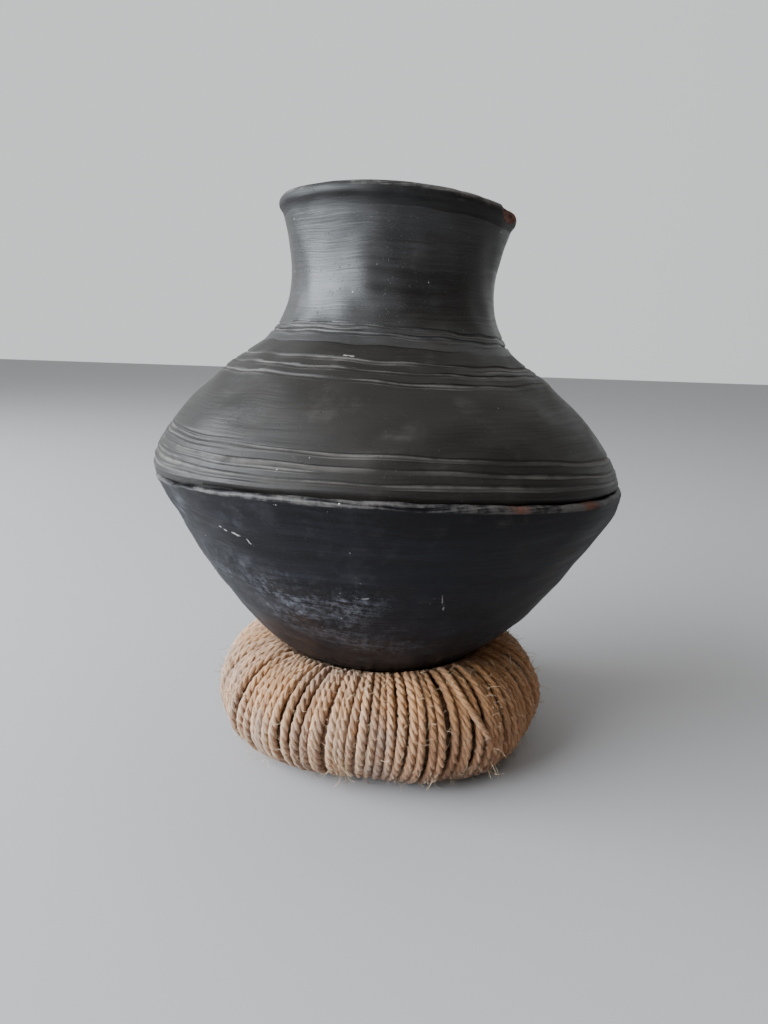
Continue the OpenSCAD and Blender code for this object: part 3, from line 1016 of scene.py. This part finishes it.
# How the ring is out of round: direction, then how much wider it is there at its foot and its top
OUT_OF_ROUND = [
    (-180, 3.0, -0.6), (-150, 3.4, 0.2), (-130, 1.6, 0.5), (-115, -1.4, 0.5), (-100, -4.0, 0),
    (-85, -2.4, 0), (-70, 1.0, 0), (-55, 4.4, 0), (-40, 4.4, -0.8), (-22, 2.0, -2.0), (0, 0.4, -4.2),
    (40, 0, -2.4), (90, 0.6, 0), (140, 0.6, -0.6), (180, 3.0, -0.6)]


def shaped_ring(out, up, around, outward):
    """Ring as it lies: out of round, flat where it stands, and pressed down by the pot."""
    up = np.maximum(up, ROPE_D / 2 * PRESSED)
    foot, top = from_table(OUT_OF_ROUND, (np.degrees(around) + 180) % 360 - 180)
    wider = foot * np.clip(1 - up / FOOT_REACH, 0, 1) + top * np.clip((up - TOP_FROM) / FADE, 0, 1)
    out = out + wider * np.clip((out - HOLE_KEPT) / FADE, 0, 1)
    points = np.stack([out * np.cos(around), out * np.sin(around), up], -1)
    away = points - seat_middle
    far = np.linalg.norm(away, axis=-1, keepdims=True)
    points = seat_middle + away * np.maximum(far, BASE_SPHERE_R + SEAT_GAP + SEAT_BEDDED) / far
    normal = np.stack([outward[:, 0] * np.cos(around), outward[:, 0] * np.sin(around), outward[:, 1]], -1)
    return points, normal


def path_object(name, points, outward, along, tone, thick):
    """A rope's middle line, with what the rope needs to know at each point of it."""
    mesh = bpy.data.meshes.new(name)
    mesh.from_pydata((points * MM).tolist(), [(i, i + 1) for i in range(len(points) - 1)], [])
    facing_out = mesh.attributes.new("outward", "FLOAT_VECTOR", "POINT")
    facing_out.data.foreach_set("vector", outward.astype(np.float32).ravel())
    for mark, values in (("along", along * MM), ("tone", tone), ("thick", thick)):
        mesh.attributes.new(mark, "FLOAT", "POINT").data.foreach_set("value", values.astype(np.float32))
    made = bpy.data.objects.new(name, mesh)
    bpy.context.scene.collection.objects.link(made)
    return made


def step(tree, kind, inputs=None, **settings):
    """One node of a tree, its inputs given by name or place; what comes out of it first."""
    made = tree.nodes.new(kind)
    for key, value in settings.items():
        setattr(made, key, value)
    for name, value in (inputs or {}).items():
        put(tree, made.inputs[name], value)
    return Amount(tree, made.outputs[0])


def pressed(tree, given, shape, floor):
    """The shape kept out of the round seat and above the floor."""
    away = step(tree, "GeometryNodeInputPosition").vector("SUBTRACT", given["Seat middle"])
    far = away.vector("LENGTH", out=1)
    seated = away.scaled(far.math("MAXIMUM", given["Seat radius"]) / far)
    place = seated.vector("ADD", given["Seat middle"]).vector("MAXIMUM", (-9.0, -9.0, floor))
    return step(tree, "GeometryNodeSetPosition", {"Geometry": shape, "Position": place})


def laid_rope_tree():
    """Three strands twisted round a path, pressed flat by the floor and by the round seat."""
    tree, given, end = new_tree("Laid rope", "GeometryNodeTree", [
        ("Path", SHAPE, None), ("Thickness", FLOAT, 0.0044), ("Lay", FLOAT, 0.015), ("Sides", WHOLE, 6),
        ("Seat middle", VECTOR, None), ("Seat radius", FLOAT, 0.11), ("Rope", MATERIAL, None)],
        [("Rope", SHAPE)])

    def named(name, kind):
        return step(tree, "GeometryNodeInputNamedAttribute", {"Name": name}, data_type=kind)

    outward, along, thick = named("outward", "FLOAT_VECTOR"), named("along", "FLOAT"), named("thick", "FLOAT")
    curve = step(tree, "GeometryNodeMeshToCurve", {"Mesh": given["Path"]})
    curve = step(tree, "GeometryNodeSetCurveRadius", {"Curve": curve, "Radius": thick})
    side = step(tree, "GeometryNodeInputTangent").vector("CROSS_PRODUCT", outward).vector("NORMALIZE")
    circle = step(tree, "GeometryNodeCurvePrimitiveCircle", {
        "Resolution": given["Sides"], "Radius": given["Thickness"] * STRAND_R})
    # Each point of the strand's round keeps its direction, for fibres without a seam.
    direction = step(tree, "GeometryNodeInputPosition").vector("NORMALIZE")
    section = step(tree, "GeometryNodeStoreNamedAttribute", {
        "Geometry": circle, "Name": "side", "Value": direction}, data_type="FLOAT_VECTOR", domain="POINT")
    together = tree.nodes.new("GeometryNodeJoinGeometry")
    reach = given["Thickness"] * thick * STRAND_OUT
    for number in range(3):
        turn = along / given["Lay"] * (-2 * math.pi) + 2 * math.pi * number / 3
        shift = outward.scaled(turn.math("COSINE") * reach).vector(
            "ADD", side.scaled(turn.math("SINE") * reach))
        middle = step(tree, "GeometryNodeSetPosition", {"Geometry": curve, "Offset": shift})
        strand = step(tree, "GeometryNodeCurveToMesh", {
            "Curve": middle, "Profile Curve": section, "Fill Caps": True})
        put(tree, together.inputs[0], strand)
    rope = pressed(tree, given, Amount(tree, together.outputs[0]), 0.00002)
    rope = step(tree, "GeometryNodeSetShadeSmooth", {"Geometry": rope})
    rope = step(tree, "GeometryNodeRealizeInstances", {"Geometry": rope})
    rope = step(tree, "GeometryNodeSetMaterial", {"Geometry": rope, "Material": given["Rope"]})
    put(tree, end.inputs[0], rope)
    return tree


def grown(name, start, tree, values):
    """What a tree makes of an object, as a plain mesh of its own."""
    modifier = start.modifiers.new("grow", "NODES")
    modifier.node_group = tree
    for item in tree.interface.items_tree:
        if item.item_type == "SOCKET" and item.in_out == "INPUT" and item.name in values:
            modifier[item.identifier] = values[item.name]
    bpy.context.view_layer.update()
    shown = start.evaluated_get(bpy.context.evaluated_depsgraph_get())
    mesh = bpy.data.meshes.new_from_object(shown, preserve_all_data_layers=True,
                                           depsgraph=bpy.context.evaluated_depsgraph_get())
    mesh.name = name
    start.modifiers.remove(modifier)
    made = bpy.data.objects.new(name, mesh)
    bpy.context.scene.collection.objects.link(made)
    return made


def drop(piece):
    """Takes away an object that was only needed to make another."""
    mesh = piece.data
    bpy.data.objects.remove(piece)
    bpy.data.meshes.remove(mesh)


rope_tree = laid_rope_tree()
SEAT = {"Seat middle": tuple(seat_middle * MM), "Seat radius": (BASE_SPHERE_R + SEAT_GAP) * MM}

path_points, path_outward, path_along, path_turn = winding_path()
turn_rng = np.random.default_rng(TURN_SEED)
turn_tone = turn_rng.uniform(0.0, 1, TURNS + 2)
turn_thick = np.clip(turn_rng.normal(1.0, 0.11, TURNS + 2), 0.8, 1.28)
path_tone, path_thick = [np.interp(path_turn, np.arange(TURNS + 2), each) for each in (turn_tone, turn_thick)]
winding_line = path_object("winding path", path_points, path_outward, path_along, path_tone, path_thick)
winding = grown("rope_turns", winding_line, rope_tree, {
    **SEAT, "Thickness": ROPE_D * MM, "Lay": ROPE_LAY * MM, "Sides": 6, "Rope": rope_material})
drop(winding_line)


SLANT_FROM, SLANT_DOWN = 104, 112  # where on the ring's section it starts, and how far round it goes
SLANT_AT, SLANT_ASIDE = -62.0, 8.5  # its direction from the middle of the ring, and how far it slants
SLANT_OUT, SLANT_TUCK = 0.9, 3.7  # how far it stands out, and how deep its lower end is tucked in


def slant_path():
    """The paler turn: it comes out from under the pot and runs down over the others, aslant."""
    t = np.linspace(0, 1, 60)
    v = np.radians(SLANT_FROM - SLANT_DOWN * t)
    # It lies on top of the turns, and dips between them at its lower end.
    inset = SLANT_D * 0.3 - SLANT_OUT + SLANT_TUCK * np.clip((t - 0.88) / 0.12, 0, 1)
    out = ring_mid[0] + (half_w - inset) * np.cos(v)
    up = ring_mid[1] + (half_h - inset) * np.sin(v)
    around = np.radians(SLANT_AT + SLANT_ASIDE * t ** 2.3 + 0.5 * np.sin(9 * t))
    points, outward = shaped_ring(out, up, around, square_to_ring(v))
    return points, outward, run_along(points)


slant_points, slant_outward, slant_along = slant_path()
even = np.ones(len(slant_points))
slant_line = path_object("slant path", slant_points, slant_outward, slant_along, 0.85 * even, even)
slant = grown("slanting_turn", slant_line, rope_tree, {
    **SEAT, "Thickness": SLANT_D * MM, "Lay": SLANT_LAY * MM, "Sides": 8, "Rope": pale_rope_material})
drop(slant_line)


def random_each(tree, kind, low, high, seed):
    """A random number or vector for each instance. The sockets for vectors come before the others."""
    first, out = {"FLOAT_VECTOR": (0, 0), "FLOAT": (2, 1)}[kind]
    inputs = {first: low, first + 1: high, "Seed": seed}
    return step(tree, "FunctionNodeRandomValue", inputs, data_type=kind).other(out)


def loose_fibres_tree():
    """Short hairs of fibre that stand off the rope, bent, each at its own angle and length."""
    tree, given, end = new_tree("Loose fibres", "GeometryNodeTree", [
        ("Rope", SHAPE, None), ("Per square metre", FLOAT, 20000.0), ("Length", FLOAT, 0.006),
        ("Thickness", FLOAT, 0.0002), ("Lean", VECTOR, None), ("Bends", WHOLE, 4), ("Seed", WHOLE, 3),
        ("Seat middle", VECTOR, None), ("Seat radius", FLOAT, 0.11), ("Fibre", MATERIAL, None)],
        [("Fibres", SHAPE)])
    roots = step(tree, "GeometryNodeDistributePointsOnFaces", {
        "Mesh": given["Rope"], "Density": given["Per square metre"], "Seed": given["Seed"]})
    # A hair one unit long, which leaves the rope steeply and bends over
    bent = step(tree, "GeometryNodeCurveQuadraticBezier", {
        "Resolution": given["Bends"], "Start": (0, 0, 0), "Middle": (0.1, 0, 0.6), "End": (0.75, 0.1, 0.75)})
    size = given["Length"].node("ShaderNodeCombineXYZ", *[given["Length"]] * 3)
    bent = step(tree, "GeometryNodeTransform", {"Geometry": bent, "Scale": size})
    circle = step(tree, "GeometryNodeCurvePrimitiveCircle", {
        "Resolution": 3, "Radius": given["Thickness"] * 0.5})
    hair = step(tree, "GeometryNodeCurveToMesh", {
        "Curve": bent, "Profile Curve": circle, "Fill Caps": True})
    hairs = step(tree, "GeometryNodeInstanceOnPoints", {
        "Points": roots, "Instance": hair, "Rotation": roots.other("Rotation"),
        "Scale": random_each(tree, "FLOAT", 0.35, 1.6, given["Seed"])})
    back = given["Lean"].scaled(-1.0)
    lean = random_each(tree, "FLOAT_VECTOR", back, given["Lean"], given["Seed"])
    hairs = step(tree, "GeometryNodeRotateInstances", {"Instances": hairs, "Rotation": lean})
    hairs = step(tree, "GeometryNodeRealizeInstances", {"Geometry": hairs})
    hairs = pressed(tree, given, hairs, 0.0001)
    hairs = step(tree, "GeometryNodeSetMaterial", {"Geometry": hairs, "Material": given["Fibre"]})
    put(tree, end.inputs[0], hairs)
    return tree


def fibre_finish():
    """Pale dry fibre."""
    f = Finish("Loose fibres", {"Sheen Weight": 0.2})
    tone = noise(f.place, 300.0, 1.0)
    f.colour(f.blend(tone.limit(0.35, 0.65), (0.42, 0.28, 0.15), (0.78, 0.62, 0.42)))
    f.rough(tone * 0.2 + 0.6)
    return f.material


fibre_material = fibre_finish()
fibre_tree = loose_fibres_tree()
fuzz = grown("loose_fibres", winding, fibre_tree, {
    **SEAT, "Per square metre": 9500.0, "Length": 4.8 * MM, "Thickness": 0.15 * MM, "Seed": FUZZ_SEED,
    "Lean": (0.9, 0.9, math.pi), "Bends": 4, "Fibre": fibre_material})
nap = grown("matted_fibres", winding, fibre_tree, {
    **SEAT, "Per square metre": 21000.0, "Length": 2.6 * MM, "Thickness": 0.14 * MM, "Seed": NAP_SEED,
    "Lean": (1.35, 1.35, math.pi), "Bends": 2, "Fibre": fibre_material})

# ---------------------------------------------------------------- finishes on, and what moves with what


def dress(piece, material):
    """Gives a piece its one finish."""
    piece.data.materials.clear()
    piece.data.materials.append(material)


for piece, material in ((bowl, bowl_clay), (shoulder, shoulder_clay), (neck, neck_clay), (lip, lip_clay)):
    dress(piece, material)
inner_finishes = {"seam_coil": inside_clay, "straw_core": straw_finish(), "core_ties": twine_finish()}
for node, material in inner_finishes.items():
    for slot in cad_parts[node].material_slots:
        slot.material = material

for piece, node, slot_name in ((bowl, "bowl", "bowl_clay"), (shoulder, "shoulder", "shoulder_clay"),
                               (neck, "neck", "neck_clay"), (lip, "lip_coil", "neck_clay")):
    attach(piece, "pot")
    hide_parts(node)
for piece, node, slot_name in ((winding, "rope_winding", "rope"), (slant, "slant_strand", "pale_rope")):
    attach(piece, "ring")
    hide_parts(node)
for piece in (fuzz, nap):
    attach(piece, "ring")

# ---------------------------------------------------------------- floor, light and camera

floor_mesh = bpy.data.meshes.new("floor")
floor_mesh.from_pydata([(-4, -3, 0), (4, -3, 0), (4, 5, 0), (-4, 5, 0)], [], [(0, 1, 2, 3)])
floor = bpy.data.objects.new("floor", floor_mesh)
bpy.context.scene.collection.objects.link(floor)
dress(floor, Finish("Plain pale floor", {"Base Color": (0.42, 0.42, 0.43, 1), "Roughness": 0.8}).material)

# The room is pale at the left and behind, and dim in front and at the right.
world = bpy.data.worlds.new("Room")
bpy.context.scene.world = world
world.use_nodes = True
room = world.node_tree
right, back, up = Amount(room, room.nodes.new("ShaderNodeTexCoord").outputs["Generated"]).parts()
pale = (back * 0.8 - right * 0.45 + up * 0.15).limit(-0.75, 0.75)
room_colour = mixed_colour(pale, (0.13, 0.105, 0.085), (0.86, 0.89, 0.9))
put(room, room.nodes["Background"].inputs["Color"], room_colour)


def lamp(name, place, aim, size, power, colour):
    """A soft rectangular light that points at a spot."""
    data = bpy.data.lights.new(name, "AREA")
    data.shape = "RECTANGLE"
    data.size, data.size_y = size
    data.energy = power
    data.color = colour
    made = bpy.data.objects.new(name, data)
    made.location = place
    made.rotation_euler = (Vector(aim) - Vector(place)).to_track_quat("-Z", "Y").to_euler()
    bpy.context.scene.collection.objects.link(made)


lamp("Window at the left", place=(-1.45, -0.42, 0.72), aim=(0, 0, 0.15), size=(1.9, 1.2),
     power=104, colour=(0.88, 0.94, 1.0))
lamp("Soft light above", place=(0.3, -0.2, 1.7), aim=(0, 0, 0.1), size=(1.2, 1.2),
     power=4, colour=(1.0, 0.93, 0.85))

# Where the camera stands from the middle of the object, in metres, and how it is turned
CAMERA_RIGHT = -0.001
CAMERA_FRONT = -0.3647
CAMERA_UP = 0.1993
CAMERA_DOWNWARD = 13.14
CAMERA_ROLL = 1.94

camera_data = bpy.data.cameras.new("camera")
camera_data.lens = 25.3
camera_data.sensor_width = 36
camera_data.clip_start = 0.02
camera = bpy.data.objects.new("camera", camera_data)
middle_x = (whole_box[0][0] + whole_box[1][0]) / 2
camera.matrix_world = (Matrix.Translation((middle_x + CAMERA_RIGHT, CAMERA_FRONT, CAMERA_UP))
                       @ Matrix.Rotation(math.radians(90 - CAMERA_DOWNWARD), 4, "X")
                       @ Matrix.Rotation(math.radians(CAMERA_ROLL), 4, "Z"))
bpy.context.scene.collection.objects.link(camera)
bpy.context.scene.camera = camera
